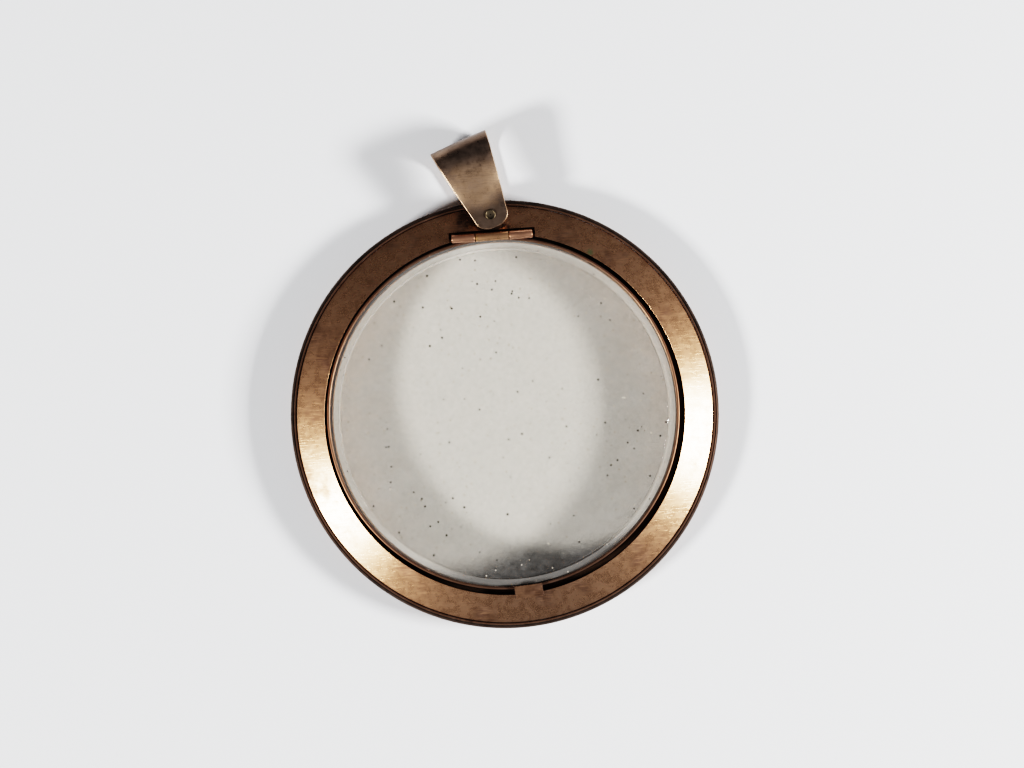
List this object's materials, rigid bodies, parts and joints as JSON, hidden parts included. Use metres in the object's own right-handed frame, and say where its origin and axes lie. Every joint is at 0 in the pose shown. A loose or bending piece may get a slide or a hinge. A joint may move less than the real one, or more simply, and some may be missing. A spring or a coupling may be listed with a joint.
{
  "type": "round glass locket with hinged door and swivel bail",
  "caption": "Round see-through locket: hollow gold case, fixed bevelled crystal behind, hinged bevelled crystal door in front, and a folded strap bail that swings on a rivet.",
  "frame": {"origin": "middle of the back crystal's flat outer face, on which the locket lies, on the axis of the round case", "axes": "+Z out of the front of the locket through the hinged door, +Y from the case's middle towards the bail rivet, +X to the right as the door is looked at"},
  "size_m": [0.045, 0.0525, 0.005],
  "materials": {
    "rose_gold": "worn polished rose gold",
    "yellow_gold": "worn polished yellow gold",
    "bail_gold": "finely scratched gold, paler than the case",
    "crystal_glass": "clear bevelled glass"
  },
  "bodies": {
    "case": {"face_plate": "rose_gold", "back_plate": "rose_gold", "rim_band": "rose_gold", "inner_collar": "rose_gold", "door_seat_ring": "rose_gold", "back_bezel": "rose_gold", "back_crystal": "crystal_glass", "back_retaining_ring": "rose_gold", "case_knuckle_left": "rose_gold", "case_knuckle_right": "rose_gold", "hinge_pin": "yellow_gold", "hinge_bearer": "rose_gold", "bail_rivet": "yellow_gold", "rivet_bush": "rose_gold"},
    "door": {"door_bezel": "rose_gold", "door_crystal": "crystal_glass", "door_retaining_ring": "rose_gold", "thumb_tab": "rose_gold", "door_knuckle": "yellow_gold"},
    "bail": {"bail_strap": "bail_gold"}
  },
  "joints": [
    {"name": "door_hinge", "type": "hinge", "parent": "case", "child": "door", "pos_m": [0, 0.01865, 0.00457], "axis": [-1, 0, 0], "range_deg": [0, 110]},
    {"name": "bail_swing", "type": "hinge", "parent": "case", "child": "bail", "pos_m": [0, 0.02096, 0.004], "axis": [0, 0, 1], "range_deg": [-80, 40]}
  ]
}
